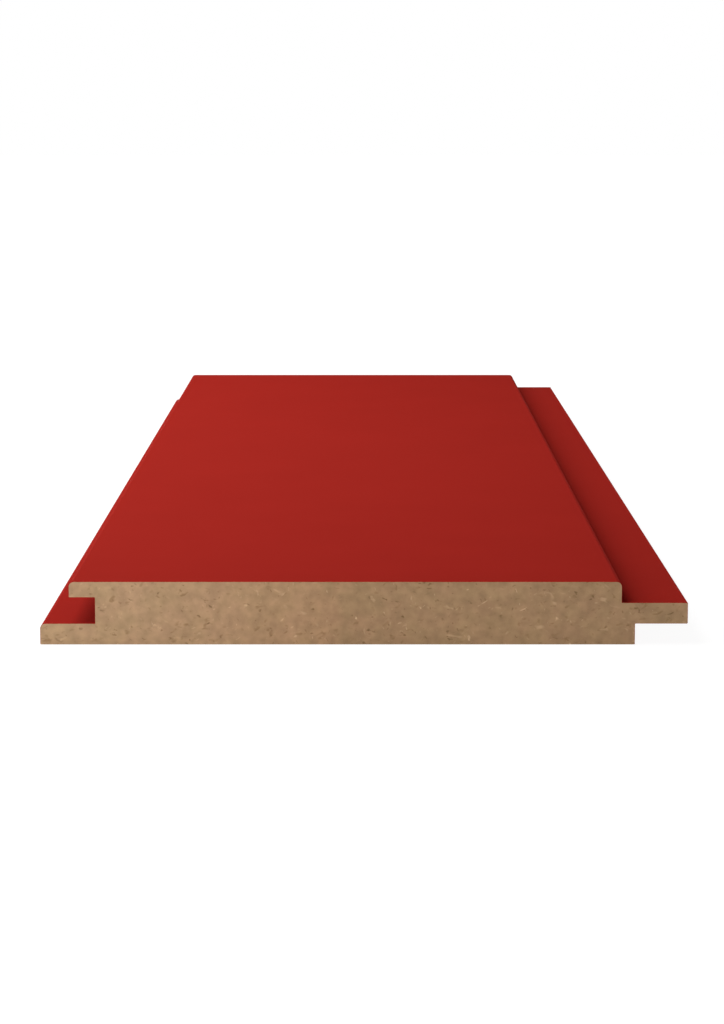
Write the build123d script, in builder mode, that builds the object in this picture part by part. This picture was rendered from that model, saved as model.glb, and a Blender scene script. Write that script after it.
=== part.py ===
"""MDF wall panel: one moulded board with a groove along one long edge and a tongue along the other.

The section lies in the XZ plane and runs the same all along Y. X goes from the groove edge to the
tongue edge, and Z from the back of the board to its painted face. The origin is on the plane of the
back, under the middle of the board. On a wall the tongue slides into the next panel's groove, the
lower lip butts against the next panel's shoulder, and an open channel, the shadow gap, is left
between the two faces.
"""

import os

from build123d import *

# Driving dimensions, in millimetres

panel_length = 600.0
board_thickness = 18.0
cover_width = 168.5  # from one panel to the next on the wall
shadow_gap = 12.0  # width of the channel between two faces

upper_lip_thickness = 4.5
upper_lip_reach = 7.4  # from the groove's bottom to the edge of the face
lower_lip_thickness = 6.0
lower_lip_reach = 15.6  # from the groove's bottom to the tip that meets the next shoulder

tongue_headroom = 1.5  # play above a tongue in its groove
tip_clearance = 0.7  # play between a tongue's tip and the groove's bottom

arris_radius = 1.5  # rounding of the exposed edges

# Sizes that follow from the fit of one panel in the next

groove_height = board_thickness - upper_lip_thickness - lower_lip_thickness
tongue_thickness = groove_height - tongue_headroom
tongue_reach = lower_lip_reach - tip_clearance
tongue_top = lower_lip_thickness + tongue_thickness
overall_width = cover_width + tongue_reach

# Places across the board, from the lower lip's tip on the left to the tongue's tip on the right

lip_tip_x = -overall_width / 2
face_edge_x = lip_tip_x + lower_lip_reach - upper_lip_reach
shoulder_x = lip_tip_x + cover_width
face_end_x = face_edge_x + cover_width - shadow_gap
tongue_tip_x = overall_width / 2

corner = (Align.MIN, Align.MIN)

with BuildPart() as wall_panel:
    with BuildSketch(Plane.XZ) as section:
        # The plain board before moulding
        Rectangle(overall_width, board_thickness, align=(Align.CENTER, Align.MIN))
        # The groove, from the lower lip's tip in to its bottom
        with Locations((lip_tip_x, lower_lip_thickness)):
            Rectangle(lower_lip_reach, groove_height, align=corner, mode=Mode.SUBTRACT)
        # The upper lip is cut back, so that the lower lip stands out beyond it
        with Locations((lip_tip_x, lower_lip_thickness)):
            Rectangle(
                face_edge_x - lip_tip_x,
                board_thickness - lower_lip_thickness,
                align=corner,
                mode=Mode.SUBTRACT,
            )
        # The step from the face down to the top of the tongue
        with Locations((face_end_x, tongue_top)):
            Rectangle(
                tongue_tip_x - face_end_x,
                board_thickness - tongue_top,
                align=corner,
                mode=Mode.SUBTRACT,
            )
        # The rebate under the tongue, where the next panel's lower lip lies
        with Locations((shoulder_x, 0)):
            Rectangle(tongue_reach, lower_lip_thickness, align=corner, mode=Mode.SUBTRACT)
        # Both edges of the face and the upper edge of the lower lip are eased
        face_corners = section.vertices().group_by(Axis.Y)[-1]
        lip_corner = section.vertices().group_by(Axis.X)[0].sort_by(Axis.Y)[-1]
        fillet([*face_corners, lip_corner], radius=arris_radius)
    extrude(amount=panel_length / 2, both=True)

wall_panel.part.label = "wall_panel"

os.makedirs("parts", exist_ok=True)
export_step(wall_panel.part, "parts/wall_panel.step")
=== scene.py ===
# %% [markdown]
# # A painted MDF wall panel
# The panel is one board of MDF, a sheet of pressed wood fibre. A spindle moulder cut a groove along
# one long edge and a tongue along the other, the board was sprayed red, and a saw cut it to length
# afterwards, so both ends show the bare fibre. The solid model gives its place and its outer box.
# This lesson dresses it: the moulded board as a mesh, then its paint, its sawn ends and its back.

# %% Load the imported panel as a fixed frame
import math

import bmesh
import bpy
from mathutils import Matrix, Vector, noise


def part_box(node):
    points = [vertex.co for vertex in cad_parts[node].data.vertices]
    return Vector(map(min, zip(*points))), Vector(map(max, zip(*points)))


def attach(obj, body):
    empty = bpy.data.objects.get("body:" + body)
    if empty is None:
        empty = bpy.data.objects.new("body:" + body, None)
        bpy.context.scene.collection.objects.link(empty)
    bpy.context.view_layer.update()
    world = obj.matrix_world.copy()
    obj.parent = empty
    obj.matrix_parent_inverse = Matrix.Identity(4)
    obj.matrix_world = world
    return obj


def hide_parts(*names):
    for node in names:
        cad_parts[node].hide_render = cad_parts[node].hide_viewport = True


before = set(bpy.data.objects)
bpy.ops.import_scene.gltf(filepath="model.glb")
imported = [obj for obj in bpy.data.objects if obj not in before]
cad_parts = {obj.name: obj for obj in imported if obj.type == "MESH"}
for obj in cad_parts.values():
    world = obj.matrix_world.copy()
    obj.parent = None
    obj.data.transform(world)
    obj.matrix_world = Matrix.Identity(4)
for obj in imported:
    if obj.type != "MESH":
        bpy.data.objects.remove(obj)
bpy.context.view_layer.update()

low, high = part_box("wall_panel")
board_length = high.y - low.y
print("CAD box in mm:", [round(size * 1000, 2) for size in high - low])

# %% [markdown]
# ## Units and colours
# Blender works in metres and in linear light. Board sizes are easier to read in millimetres, and
# paint colours as the hex values that a colour picker shows, so two small functions translate them.

# %% Millimetres and sRGB hex colours


def mm(size):
    """A size in millimetres as metres."""
    return size / 1000


def srgb(code):
    """An sRGB hex colour such as #a1b2c3 as linear red, green, blue and alpha."""
    parts = [int(code[i : i + 2], 16) / 255 for i in (1, 3, 5)]
    linear = [p / 12.92 if p <= 0.04045 else ((p + 0.055) / 1.055) ** 2.4 for p in parts]
    return (*linear, 1.0)


print("mid grey in linear light:", round(srgb("#808080")[0], 3))

# %% [markdown]
# ## Camera
# The photograph was taken from the end of the panel, a little above it, with a long lens, so the far
# end looks a little over half as wide as the near one. Such a camera could be set by eye. But a panel
# is all straight edges, and a wrong lens shows in each of them, so the lens, the place and the pitch
# were found by least squares from the edges of both ends. Nothing is shifted or cropped.

# %% Place the camera
focal_length = 101.11  # in mm, as Blender states lenses
sensor_size = 36.0  # in mm, along the longer side of the picture
camera_from_near_end = mm(801.2)
camera_height = mm(154.98)
camera_aside = mm(-0.52)
camera_pitch = math.radians(8.312)

camera = bpy.data.objects.new("camera", bpy.data.cameras.new("camera"))
bpy.context.scene.collection.objects.link(camera)
camera.data.lens = focal_length
camera.data.sensor_width = sensor_size
camera.location = (camera_aside, low.y - camera_from_near_end, low.z + camera_height)
camera.rotation_euler = (math.radians(90) - camera_pitch, 0, 0)
bpy.context.scene.camera = camera
bpy.context.scene.view_settings.view_transform = "Standard"
print("camera at", [round(c, 4) for c in camera.location])

# %% [markdown]
# ## The moulded board
# Every cut in this board runs from end to end, so its section says it all: draw the twelve corners
# of the near end and extrude that face along the board. A boolean for each cutter would also do, but
# it leaves stray edges behind, and the section is what a joiner would draw anyway.

# %% Corners of the section
lip_thickness = mm(6.0)  # lower lip, and the rebate under the tongue
upper_lip_thickness = mm(4.5)
tongue_headroom = mm(1.5)
lip_setback = mm(8.2)  # the lower lip stands out this far beyond the upper one
groove_depth = mm(15.6)
tongue_reach = mm(14.9)
step_setback = mm(3.8)  # from the shoulder under the tongue back to the edge of the face

back, face = low.z, high.z
lip_tip, tongue_tip = low.x, high.x
lip_top = back + lip_thickness
groove_top = face - upper_lip_thickness
tongue_top = groove_top - tongue_headroom
face_edge = lip_tip + lip_setback
groove_bottom = lip_tip + groove_depth
shoulder = tongue_tip - tongue_reach
face_end = shoulder - step_setback

outline = [
    (lip_tip, back),
    (shoulder, back),
    (shoulder, lip_top),
    (tongue_tip, lip_top),
    (tongue_tip, tongue_top),
    (face_end, tongue_top),
    (face_end, face),
    (face_edge, face),
    (face_edge, groove_top),
    (groove_bottom, groove_top),
    (groove_bottom, lip_top),
    (lip_tip, lip_top),
]
print("face is", round((face_end - face_edge) * 1000, 1), "mm wide")

# %% Extrude the section along the board
board = bmesh.new()
near_end = board.faces.new([board.verts.new((x, low.y, z)) for x, z in outline])
drawn = bmesh.ops.extrude_face_region(board, geom=[near_end])["geom"]
drawn_verts = [part for part in drawn if isinstance(part, bmesh.types.BMVert)]
bmesh.ops.translate(board, verts=drawn_verts, vec=(0, board_length, 0))
bmesh.ops.recalc_face_normals(board, faces=board.faces)
print("board volume in cubic cm:", round(board.calc_volume() * 1e6, 1))

# %% [markdown]
# ## Eased edges
# Paint runs thin on a sharp edge, so the cutter rounds both edges of the face. It also rounds the tip
# of the lower lip, which has to slip under the next tongue. The other edges are left as they come off
# the tool, and sanding and paint only break them. A Bevel modifier would treat them all alike, so the
# bevel operator is used twice, with a width for each set.

# %% Round three edges and break the others
arris_radius = mm(1.5)
sanded_edge = mm(0.2)
round_steps = 8
sanded_steps = 3
same_place = mm(0.01)  # points nearer than this are one place
rounded = [(face_edge, face), (face_end, face), (lip_tip, lip_top)]
broken = [corner for corner in outline if corner not in rounded]


def long_edges(corners):
    """The edges that run along the board at these corners of the section."""
    found = []
    for edge in board.edges:
        a, b = edge.verts[0].co, edge.verts[1].co
        along = abs(a.y - b.y) > board_length / 2
        if along and any(abs(a.x - x) + abs(a.z - z) < same_place for x, z in corners):
            found.append(edge)
    return found


for corners, width, steps in (
    (rounded, arris_radius, round_steps),
    (broken, sanded_edge, sanded_steps),
):
    bmesh.ops.bevel(
        board,
        geom=long_edges(corners),
        offset=width,
        offset_type="OFFSET",
        segments=steps,
        profile=0.5,
        affect="EDGES",
        material=-1,
        clamp_overlap=True,
    )
print("faces after bevelling:", len(board.faces))

# %% [markdown]
# ## Which surface is which
# The pressed face takes paint smoothly, the moulded edges drink it in, the back was only sanded and
# the ends were sawn. Separate objects would show seams where they meet, so each finish gets a material
# slot of the one mesh, and its faces are told by where they look and how high they lie.

# %% Sort the faces into finishes
finishes = range(4)
FACE_PAINT, EDGE_PAINT, SAWN_END, SANDED_BACK = finishes
squarely = 0.9  # a face looks along an axis if this much of its normal does

for f in board.faces:
    height = f.calc_center_median().z
    if abs(f.normal.y) > squarely:
        f.material_index = SAWN_END
    elif f.normal.z < -squarely and height < back + same_place:
        f.material_index = SANDED_BACK
    elif f.normal.z > squarely and height > face - same_place:
        f.material_index = FACE_PAINT
    else:
        f.material_index = EDGE_PAINT
print("faces for each finish:", [sum(f.material_index == i for f in board.faces) for i in finishes])

# %% [markdown]
# ## A map for baking
# The finishes further down are patterns in space, so Blender needs no map to draw them. A viewer that
# can't run them gets them baked into one square picture, and automatic unwrapping spends most of that
# on plain paint. So the map is laid out like this: each sawn end is a strip across the whole picture,
# and the long faces are unrolled round the section into the rest. The paint line that a later step makes
# round each end is unfolded past the long faces, where the picture is red.

# %% Share out the picture
picture_side = 1024  # pixels of the baked picture
gap_pixels = 4

strip_gap = gap_pixels / picture_side
end_scale = (1 - 2 * strip_gap) / (tongue_tip - lip_tip)
end_strip = end_scale * (face - back)
near_strip = strip_gap
far_strip = near_strip + end_strip + strip_gap
long_strip = far_strip + end_strip + strip_gap
print("pixels to a mm on a sawn end:", round(end_scale * picture_side / 1000, 2))

# %% Unroll the long faces
bake_map = board.loops.layers.uv.new("OFBake")  # baking reads a map of this name
ends = [f for f in board.faces if f.material_index == SAWN_END]
near_sawn, far_sawn = sorted(ends, key=lambda f: f.calc_center_median().y)
girth = sum(e.calc_length() for e in near_sawn.edges)
long_scale = (1 - 2 * strip_gap) / board_length
girth_scale = (1 - strip_gap - long_strip) / girth

ring = list(near_sawn.loops)
start = ring.index(min(ring, key=lambda loop: loop.vert.co.xz[:]))  # the same corner on every run
walked = 0.0
for corner in ring[start:] + ring[:start]:
    side = corner.edge.calc_length()
    for loop in corner.link_loop_radial_next.face.loops:
        along = loop.vert.co.y - low.y
        at_corner = (loop.vert.co - corner.vert.co).xz.length < same_place
        round_section = walked if at_corner else walked + side
        loop[bake_map].uv = (
            strip_gap + along * long_scale,
            long_strip + round_section * girth_scale,
        )
    walked += side
print("girth of the section in mm:", round(girth * 1000, 1))

# %% [markdown]
# ## Sawn ends
# The saw went through paint and board together, so a thin line of paint outlines each end. Inside it
# the fibre is torn and slightly fuzzy. Bump in the material could fake that, but an exported mesh would
# stay flat. So an inset makes the paint line, rows of plane cuts make a fine mesh inside it, and a
# little noise pushes that mesh in, never out, so that the panel keeps its length. The back has no
# paint, so along it the outermost line stays bare.

# %% Fine mesh by plane cuts
mesh_step = mm(0.5)
cut_tolerance = mm(0.001)  # a corner this near a cut counts as on it
ACROSS, UP = Vector((1, 0, 0)), Vector((0, 0, 1))


def cut_in_slices(faces, way, first, last):
    """Cuts the faces by planes across one way, a mesh step apart, and returns the pieces."""
    parts = [part for f in faces for part in (f, *f.edges, *f.verts)]
    geom = list(dict.fromkeys(parts))  # each part once
    slices = round((last - first) / mesh_step)
    for i in range(1, slices):
        place = way * (first + (last - first) * i / slices)
        cut = bmesh.ops.bisect_plane(
            board, geom=geom, dist=cut_tolerance, plane_co=place, plane_no=way
        )
        geom = cut["geom"]
    return [part for part in geom if isinstance(part, bmesh.types.BMFace)]


print("slices across an end:", round((tongue_tip - lip_tip) / mesh_step))

# %% Paint line and torn fibre
paint_film = mm(0.07)
film_raggedness = mm(0.03)
film_waves = 1.7  # waves of the film's edge to one of the fuzz
elsewhere = Vector((31, 7, 19))  # a far part of the noise, so that x and z wander apart
fuzz_depth = mm(0.07)
fuzz_size = mm(0.9)
fuzz_fade = 0.8  # how fast its finer waves weaken
fuzz_ratio = 2.1  # between one wave and the next finer one
fuzz_octaves = 3


def paint_line(end):
    """Insets an end by the paint film and returns the bands round it, painted except on the back."""
    film = bmesh.ops.inset_region(
        board, faces=[end], thickness=paint_film, depth=0, use_even_offset=True, use_boundary=True
    )["faces"]
    for band in film:
        sides = [f for e in band.edges for f in e.link_faces if abs(f.normal.y) < squarely]
        on_back = sides[0].material_index == SANDED_BACK
        band.material_index = SAWN_END if on_back else EDGE_PAINT
    return film


def tear_fibre(fibre, film, inward):
    """Pushes the fibre inward, 1 or -1 along Y, and makes the inner edge of the film ragged."""
    rim = {v for f in film for v in f.verts}
    for v in {v for f in fibre for v in f.verts}:
        spot = v.co / fuzz_size
        if v in rim:
            v.co.x += film_raggedness * noise.noise(spot * film_waves)
            v.co.z += film_raggedness * noise.noise(spot * film_waves + elsewhere)
        else:
            tear = 0.5 + 0.5 * noise.fractal(spot, fuzz_fade, fuzz_ratio, fuzz_octaves)
            v.co.y += inward * fuzz_depth * min(max(tear, 0), 1)


print("paint film in mm:", round(paint_film * 1000, 2))

# %% Places on the map for an end


def lay_on_strip(faces, strip):
    """Lays bare faces of a sawn end on their strip of the map."""
    for loop in [loop for f in faces for loop in f.loops]:
        x, _, z = loop.vert.co
        loop[bake_map].uv = (strip_gap + (x - lip_tip) * end_scale, strip + (z - back) * end_scale)


def unfold_past_long_faces(bands, inward):
    """Lays the bands of a paint line on the map past the ends of the long faces that they border."""
    for band in bands:
        shared = [loop.link_loop_radial_next for loop in band.loops]
        first = next(loop for loop in shared if abs(loop.face.normal.y) < squarely)
        second = first.link_loop_next
        side = second.vert.co - first.vert.co
        for loop in band.loops:
            apart = loop.vert.co - first.vert.co
            share = apart.dot(side) / side.length_squared
            past = (apart - share * side).length
            place = first[bake_map].uv.lerp(second[bake_map].uv, share)
            loop[bake_map].uv = (place.x - inward * past * long_scale, place.y)


print("strips start at", round(near_strip, 3), "and", round(far_strip, 3))

# %% Saw both ends
for end, inward, strip in ((near_sawn, 1, near_strip), (far_sawn, -1, far_strip)):
    film = paint_line(end)
    fibre = cut_in_slices([end], ACROSS, lip_tip, tongue_tip)
    fibre = cut_in_slices(fibre, UP, back, face)
    tear_fibre(fibre, film, inward)
    unfold_past_long_faces([band for band in film if band.material_index == EDGE_PAINT], inward)
    lay_on_strip(fibre + [band for band in film if band.material_index == SAWN_END], strip)
    print("faces on a sawn end:", len(fibre))

# %% [markdown]
# ## Clean shading
# The rounds should shade as rounds and the flats as flats. Flat shading would show each step of a
# round, and smooth shading alone would bend the light on the flats beside it. So everything is smooth,
# edges past a set angle stay sharp, and a Weighted Normal modifier lets the large flat faces, not the
# narrow ones of a round, decide how their shared edges catch the light.

# %% Turn the mesh into an object
sharp_angle = math.radians(35)

bmesh.ops.recalc_face_normals(board, faces=board.faces)
open_edges = sum(len(e.link_faces) != 2 for e in board.edges)
panel_mesh = bpy.data.meshes.new("moulded_board")
board.to_mesh(panel_mesh)
board.free()
panel_mesh.shade_smooth()
panel_mesh.set_sharp_from_angle(angle=sharp_angle)
panel = bpy.data.objects.new("moulded_board", panel_mesh)
bpy.context.scene.collection.objects.link(panel)
weighted = panel.modifiers.new("flat faces stay flat", "WEIGHTED_NORMAL")
weighted.keep_sharp = True
print("open edges:", open_edges, "polygons:", len(panel_mesh.polygons))

# %% [markdown]
# ## Building materials from nodes
# One helper adds a node, sets its properties and fills its sockets. A socket gets either a plain value
# or another node's output, which is then linked. A second one starts a material. Its patterns read the
# object's own coordinates, moved a few millimetres: Blender's noise is at its weakest, and most
# regular, on whole numbers of its size, and the board's flat faces would otherwise lie on them.

# %% The node helpers
PATTERN_SHIFT = (mm(3.7), mm(4.1), mm(4.3))
MIX_FACTOR, MIX_A, MIX_B, MIX_RESULT = 0, 6, 7, 2  # sockets of a Mix node that mixes colours


def add_node(tree, kind, inputs=None, **settings):
    """Adds a node with these settings; inputs names its sockets and gives a value or a link for each."""
    made = tree.nodes.new(kind)
    for name, value in settings.items():
        setattr(made, name, value)
    for socket, value in (inputs or {}).items():
        if isinstance(value, bpy.types.NodeSocket):
            tree.links.new(value, made.inputs[socket])
        else:
            made.inputs[socket].default_value = value
    return made


def new_material(name):
    """An empty material, its node tree, and the shifted coordinates that its patterns read."""
    material = bpy.data.materials.new(name)
    material.use_nodes = True
    tree = material.node_tree
    tree.nodes.clear()
    own = add_node(tree, "ShaderNodeTexCoord").outputs["Object"]
    place = add_node(tree, "ShaderNodeVectorMath", {0: own, 1: PATTERN_SHIFT}, operation="ADD")
    return material, tree, place.outputs["Vector"]


print("patterns are shifted by", [round(s * 1000, 1) for s in PATTERN_SHIFT], "mm")

# %% [markdown]
# ## Red paint
# Matt spray paint has almost no gloss: its filler breaks the surface up so finely that light scatters
# off it evenly, even where the eye skims along it as here. What is left to see is a slight clouding of
# the colour and the orange peel of a sprayed coat, dimples a millimetre or two apart and a few
# hundredths deep. The moulded edges drink the paint in, and the cut fibre that lifts under it makes the
# dimples finer. Their colour is a touch deeper, partly from the sunk-in paint and partly as painted
# shade for the groove and the tongue beside the step. One flat colour would look like plastic, so a
# noise pattern clouds the colour and a finer one drives the bump, in one function for both paints.

# %% Matt spray paint on the face and on the moulded edges
cloud_size = mm(35)


def matt_spray_paint(name, deep, light, peel_size, peel_depth):
    """Matt spray paint clouded between two colours, with orange peel of this size and depth."""
    material, tree, place = new_material(name)
    cloud = add_node(
        tree, "ShaderNodeTexNoise", {"Vector": place, "Scale": 1 / cloud_size, "Detail": 3}
    )
    colour = add_node(
        tree,
        "ShaderNodeMix",
        {MIX_FACTOR: cloud.outputs["Fac"], MIX_A: srgb(deep), MIX_B: srgb(light)},
        data_type="RGBA",
    )
    peel = add_node(
        tree, "ShaderNodeTexNoise", {"Vector": place, "Scale": 1 / peel_size, "Detail": 2}
    )
    dimples = add_node(
        tree,
        "ShaderNodeBump",
        {"Height": peel.outputs["Fac"], "Distance": peel_depth, "Strength": 1.0},
    )
    shader = add_node(
        tree,
        "ShaderNodeBsdfPrincipled",
        {
            "Base Color": colour.outputs[MIX_RESULT],
            "Roughness": 0.95,
            "IOR": 1.5,
            "Specular IOR Level": 0.01,  # a smooth coat has 0.5, and the filler hides nearly all of it
            "Normal": dimples.outputs["Normal"],
        },
    )
    add_node(tree, "ShaderNodeOutputMaterial", {"Surface": shader.outputs["BSDF"]})
    return material


face_paint = matt_spray_paint(
    "matt_spray_paint_on_pressed_face", "#9b221a", "#a1241c", mm(1.6), mm(0.035)
)
# partly painted shade: the edge colours are a touch darker than the face's, which also deepens the
# groove and the tongue beside the step
edge_paint = matt_spray_paint(
    "matt_spray_paint_on_moulded_edge", "#98211a", "#9e231b", mm(0.7), mm(0.03)
)
print("paints:", face_paint.name, edge_paint.name)

# %% [markdown]
# ## Raw MDF
# MDF is softwood fibre and resin, pressed flat. On a sawn end it is an even tan, clouded by warmer and
# greener patches a few millimetres across, with dark bark specks up to a millimetre wide and pale fibre
# bundles a millimetre or two long. There are far too many to model. Cutting off the peaks of a noise
# pattern gives such specks: they come out ragged, in all sizes, and as rare as the cut is high. Each
# kind is laid in more than one direction, so that no direction stands out.

# %% Specks and fibre bundles
fleck_softness = 0.13  # from the cut to a peak's full colour, in units of the noise
layer_spacing = mm(50)  # each layer reads another part of the noise
fleck_layers = [
    # colour, width in flecks, stretch, turn in degrees, cut, strength
    ("#7d6040", 1.8, 1.5, -20, 0.635, 0.52),
    ("#6c5034", 1.3, 1.5, 50, 0.67, 0.6),
    ("#5c4228", 1.4, 1.4, 10, 0.685, 0.75),
    ("#caa883", 1.7, 2.0, 20, 0.67, 0.52),
    ("#d4b28c", 1.3, 2.2, -35, 0.695, 0.75),
    ("#d8b792", 1.1, 2.0, 70, 0.71, 0.85),
]


def flecked(tree, place, colour, fleck_size, layer):
    """The colour with one layer of flecks over it."""
    code, width, stretch, turn, cut, strength = layer
    laid = add_node(
        tree,
        "ShaderNodeMapping",
        {
            "Vector": place,
            "Location": (layer_spacing * width, mm(turn), 0),
            "Rotation": (0, math.radians(turn), 0),
            "Scale": (stretch, 1, 1),
        },
        vector_type="TEXTURE",
    )
    peaks = add_node(
        tree,
        "ShaderNodeTexNoise",
        {
            "Vector": laid.outputs["Vector"],
            "Scale": 1 / (fleck_size * width),
            "Detail": 1.5,
            "Distortion": 0.4,
        },
    )
    mask = add_node(
        tree,
        "ShaderNodeMapRange",
        {
            "Value": peaks.outputs["Fac"],
            "From Min": cut,
            "From Max": cut + fleck_softness,
            "To Min": 0.0,
            "To Max": strength,
        },
    )
    return add_node(
        tree,
        "ShaderNodeMix",
        {MIX_FACTOR: mask.outputs["Result"], MIX_A: colour, MIX_B: srgb(code)},
        data_type="RGBA",
    ).outputs[MIX_RESULT]


print("fleck layers:", len(fleck_layers))

# %% [markdown]
# ## Painted light on the groove side
# The sawn end is painted paler on its groove side, where the broad softbox stands, and darker towards
# the tongue: painted light and shade. It darkens slowly towards the middle and then over a few
# millimetres, along a border that wanders. Two ramps across the board mix the tans. On their own they
# would leave straight borders, so the clouds that the next step makes push them to and fro.

# %% Painted shade across the board
# painted light: the groove side's tan, paler because the softbox stands on that side
sawn_tan = "#b0906f"
# painted shade: darker tans towards the tongue side, away from the softbox
sawn_end_painted_shade = [
    # colour, and where it starts and is full, across the board
    ("#a98766", mm(-62), mm(-12)),
    ("#a18262", mm(-12), mm(-4)),
]
border_stray = mm(30)  # the clouds move these places by up to half of this either way


def painted_shade_across(tree, place, clouds, colour, painted_shade_tans):
    """The colour, turning into darker tans of painted shade across the board, along borders that stray
    with the clouds.
    """
    across = add_node(tree, "ShaderNodeSeparateXYZ", {"Vector": place}).outputs["X"]
    strayed = add_node(
        tree,
        "ShaderNodeMath",
        {0: clouds, 1: border_stray, 2: across},
        operation="MULTIPLY_ADD",
    ).outputs["Value"]
    added = border_stray / 2 + PATTERN_SHIFT[0]  # what the clouds and the shift add on average
    for code, first, last in painted_shade_tans:
        ramp = add_node(
            tree,
            "ShaderNodeMapRange",
            {"Value": strayed, "From Min": first + added, "From Max": last + added},
        )
        colour = add_node(
            tree,
            "ShaderNodeMix",
            {MIX_FACTOR: ramp.outputs["Result"], MIX_A: colour, MIX_B: srgb(code)},
            data_type="RGBA",
        ).outputs[MIX_RESULT]
    return colour


print("tans across a sawn end:", [sawn_tan] + [code for code, _, _ in sawn_end_painted_shade])

# %% [markdown]
# ## Clouds and mottle
# Under the flecks lie soft clouds, a little warmer here and greener there, and a finer mottle of light
# and dark. Mixing in fixed colours would wash out the steps between the tans, so both are factors near
# one that multiply whatever tan lies under them.

# %% Clouded tan
cloud_flecks = 7  # a cloud is about this many flecks wide
mottle_flecks = 2.5
cloud_range = (0.35, 0.65)  # most of the noise lies between these
mottle_range = (0.25, 0.75)
warmer, greener = (1.015, 0.995, 1.015, 1), (0.985, 1.005, 0.985, 1)
mottle_dark, mottle_light = 0.84, 1.16


def clouded_tan(tree, place, fleck_size, tan, painted_shade_tans):
    """The colour of the fibre under its flecks, and the mottle that also roughens it."""
    clouds = add_node(
        tree,
        "ShaderNodeTexNoise",
        {"Vector": place, "Scale": 1 / (fleck_size * cloud_flecks), "Detail": 2},
    ).outputs["Fac"]
    mottle = add_node(
        tree,
        "ShaderNodeTexNoise",
        {"Vector": place, "Scale": 1 / (fleck_size * mottle_flecks), "Detail": 4, "Roughness": 0.45},
    ).outputs["Fac"]
    share = add_node(
        tree,
        "ShaderNodeMapRange",
        {"Value": clouds, "From Min": cloud_range[0], "From Max": cloud_range[1]},
    )
    tint = add_node(
        tree,
        "ShaderNodeMix",
        {MIX_FACTOR: share.outputs["Result"], MIX_A: warmer, MIX_B: greener},
        data_type="RGBA",
    )
    shade = add_node(
        tree,
        "ShaderNodeMapRange",
        {
            "Value": mottle,
            "From Min": mottle_range[0],
            "From Max": mottle_range[1],
            "To Min": mottle_dark,
            "To Max": mottle_light,
        },
    )
    colour = srgb(tan)
    # painted shade across the board, darker away from the softbox
    if painted_shade_tans:
        colour = painted_shade_across(tree, place, clouds, colour, painted_shade_tans)
    for factor in (tint.outputs[MIX_RESULT], shade.outputs["Result"]):
        colour = add_node(
            tree,
            "ShaderNodeMix",
            {MIX_FACTOR: 1.0, MIX_A: colour, MIX_B: factor},
            data_type="RGBA",
            blend_type="MULTIPLY",
        ).outputs[MIX_RESULT]
    return colour, mottle


print("mottle on a sawn end from", mottle_dark, "to", mottle_light)

# %% [markdown]
# ## Sawn and sanded
# Both finishes are the same fibre, so one function makes both. A saw tears it, so the ends are coarse
# and rough, while a sanding belt leaves the back smoother, with smaller marks and one even tan.

# %% Sawn and sanded MDF
sanded_tan = "#ab8a69"


def raw_mdf(name, fleck_size, tear_depth, tan, painted_shade_tans):
    """Bare medium density fibreboard, with flecks of about this size, torn to this depth."""
    material, tree, place = new_material(name)
    colour, mottle = clouded_tan(tree, place, fleck_size, tan, painted_shade_tans)
    for layer in fleck_layers:
        colour = flecked(tree, place, colour, fleck_size, layer)
    torn = add_node(
        tree, "ShaderNodeBump", {"Height": mottle, "Distance": tear_depth, "Strength": 1.0}
    )
    shader = add_node(
        tree,
        "ShaderNodeBsdfPrincipled",
        {
            "Base Color": colour,
            "Roughness": 0.9,
            "IOR": 1.5,
            "Specular IOR Level": 0.05,  # loose fibre hardly shines
            "Normal": torn.outputs["Normal"],
        },
    )
    add_node(tree, "ShaderNodeOutputMaterial", {"Surface": shader.outputs["BSDF"]})
    return material


sawn_mdf = raw_mdf("sawn_mdf_end", mm(1.0), mm(0.03), sawn_tan, sawn_end_painted_shade)
sanded_mdf = raw_mdf("sanded_mdf_back", mm(0.7), mm(0.01), sanded_tan, [])
for material in (face_paint, edge_paint, sawn_mdf, sanded_mdf):
    panel_mesh.materials.append(material)
print("material slots:", [m.name for m in panel_mesh.materials])

# %% [markdown]
# ## In the place of the solid
# The solid model stays for collisions, but it has no broken edges, paint line or torn fibre. The mesh
# has the same section and the same box, so it is shown in the solid's place and rides on the same body.
# It could be laid over the solid instead, but then two surfaces would fight for the same place.

# %% Put the dressed board in the place of the CAD solid
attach(panel, "root")
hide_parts("wall_panel")
print("dressed board rides on the root body")

# %% [markdown]
# ## White studio
# The photograph's background is plain white. Lamps strong enough to make a floor that white would
# bleach the panel. So the floor and the world look white to the camera, while the light that reaches
# the panel from them is softer. The floor's own diffuse part keeps the panel's shadow, faint, as on a
# lit white table, and it fades into plain white further out.

# %% A world that looks white
sky_light = 0.1


def seen_directly(tree):
    """1 for what the camera sees, also in a mirror or through clear glass, 0 for light that bounces."""
    path = add_node(tree, "ShaderNodeLightPath").outputs
    seen = path["Is Camera Ray"]
    for other in ("Is Glossy Ray", "Is Transmission Ray"):
        seen = add_node(
            tree, "ShaderNodeMath", {0: seen, 1: path[other]}, operation="MAXIMUM"
        ).outputs["Value"]
    return seen


world = bpy.data.worlds.new("white_studio")
bpy.context.scene.world = world
world.use_nodes = True
sky = world.node_tree
sky.nodes.clear()
soft = add_node(sky, "ShaderNodeBackground", {"Color": srgb("#ffffff"), "Strength": sky_light})
plain = add_node(sky, "ShaderNodeBackground", {"Color": srgb("#ffffff"), "Strength": 1.0})
seen_sky = add_node(
    sky,
    "ShaderNodeMixShader",
    {0: seen_directly(sky), 1: soft.outputs["Background"], 2: plain.outputs["Background"]},
)
add_node(sky, "ShaderNodeOutputWorld", {"Surface": seen_sky.outputs["Shader"]})
print("world looks white and lights with a strength of", sky_light)

# %% A floor just under the panel
floor_half = 6.0
floor_drop = mm(0.1)  # so that the floor and the back don't fight for the same place

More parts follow.
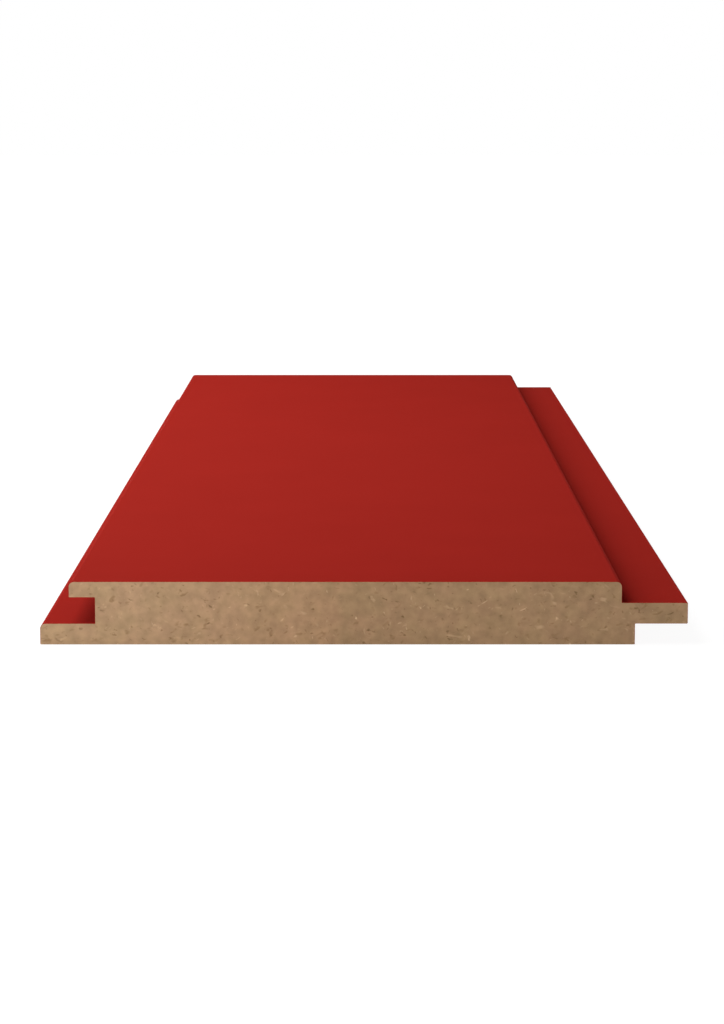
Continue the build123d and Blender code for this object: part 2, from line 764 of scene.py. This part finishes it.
floor_builder = bmesh.new()
bmesh.ops.create_grid(floor_builder, x_segments=1, y_segments=1, size=floor_half)
bmesh.ops.translate(floor_builder, verts=floor_builder.verts, vec=(0, 0, low.z - floor_drop))
floor_mesh = bpy.data.meshes.new("white_floor")
floor_builder.to_mesh(floor_mesh)
floor_builder.free()
floor = bpy.data.objects.new("white_floor", floor_mesh)
bpy.context.scene.collection.objects.link(floor)
print("floor is", 2 * floor_half, "m square")

# %% Matt white floor with a faint shadow
floor_lift = 0.94  # white that the camera sees even in full shadow
floor_shade = 0.16  # how much of the shadow shows
shadow_reach = (0.5, 0.8)  # beyond this ellipse round the panel the floor is plain white
fade_start = 0.6  # share of the way to that ellipse at which the shadow starts to fade

floor_material, floor_tree, floor_place = new_material("matt_white_floor")
matt = add_node(floor_tree, "ShaderNodeBsdfDiffuse", {"Color": srgb("#e0e0e0")})
shaded = add_node(
    floor_tree, "ShaderNodeBsdfDiffuse", {"Color": (floor_shade, floor_shade, floor_shade, 1)}
)
spread = add_node(
    floor_tree, "ShaderNodeVectorMath", {0: floor_place, 1: (*shadow_reach, 1)}, operation="DIVIDE"
)
away = add_node(
    floor_tree, "ShaderNodeVectorMath", {0: spread.outputs["Vector"]}, operation="LENGTH"
)
plain_white = add_node(
    floor_tree,
    "ShaderNodeMapRange",
    {
        "Value": away.outputs["Value"],
        "From Min": fade_start,
        "From Max": 1.0,
        "To Min": floor_lift,
        "To Max": 1.0,
    },
)
lift = add_node(
    floor_tree,
    "ShaderNodeEmission",
    {"Color": srgb("#ffffff"), "Strength": plain_white.outputs["Result"]},
)
white = add_node(
    floor_tree, "ShaderNodeAddShader", {0: shaded.outputs["BSDF"], 1: lift.outputs["Emission"]}
)
seen_floor = add_node(
    floor_tree,
    "ShaderNodeMixShader",
    {0: seen_directly(floor_tree), 1: matt.outputs["BSDF"], 2: white.outputs["Shader"]},
)
add_node(floor_tree, "ShaderNodeOutputMaterial", {"Surface": seen_floor.outputs["Shader"]})
floor_mesh.materials.append(floor_material)
print("floor material:", floor_material.name)

# %% [markdown]
# ## Light
# The panel is a little lighter on its groove side than on its tongue side, evenly from end to end, and
# the step shades the tongue softly and widely. That is one broad softbox over the groove side, reaching
# from low beside the panel to right above it. A strip near the floor in front lights the sawn end
# without reaching the face. Two weak ones keep the tongue edge and the far end from going black. The
# rear one stands lower than the face, because light that skims the paint towards the camera greys it.

# %% A broad softbox and three low strips


def softbox(name, place, aim, length, width, watts):
    """A soft rectangular light that the camera doesn't see, its length level."""
    light = bpy.data.lights.new(name, "AREA")
    light.shape = "RECTANGLE"
    light.size = length
    light.size_y = width
    light.energy = watts
    lamp = bpy.data.objects.new(name, light)
    bpy.context.scene.collection.objects.link(lamp)
    lamp.location = place
    lamp.rotation_euler = (Vector(aim) - Vector(place)).to_track_quat("-Z", "Y").to_euler()
    lamp.visible_camera = False


softbox(
    "broad_softbox",
    place=(-0.301, 0.1, 0.411),
    aim=(0, 0.1, tongue_top),
    length=1.3,
    width=0.54,
    watts=5.75,
)
softbox(
    "front_strip",
    place=(-0.23, -0.95, 0.055),
    aim=(0, low.y, 0.01),
    length=0.6,
    width=0.09,
    watts=2.55,
)
softbox(
    "right_strip",
    place=(0.6, 0, 0.03),
    aim=(0.09, 0, 0.01),
    length=1.5,
    width=0.05,
    watts=1.6,
)
softbox(
    "rear_strip",
    place=(-0.1, 0.95, 0.009),
    aim=(0, high.y, 0.009),
    length=0.6,
    width=0.016,
    watts=0.8,
)

# %% [markdown]
# ## The same size as the solid
# The next panel has to fit this one, so dressing it mustn't change its size. The box of the solid was
# noted at the start, and the mesh was drawn inside it. Last, the scene is brought up to date.

# %% Bring the scene up to date
bpy.context.view_layer.update()
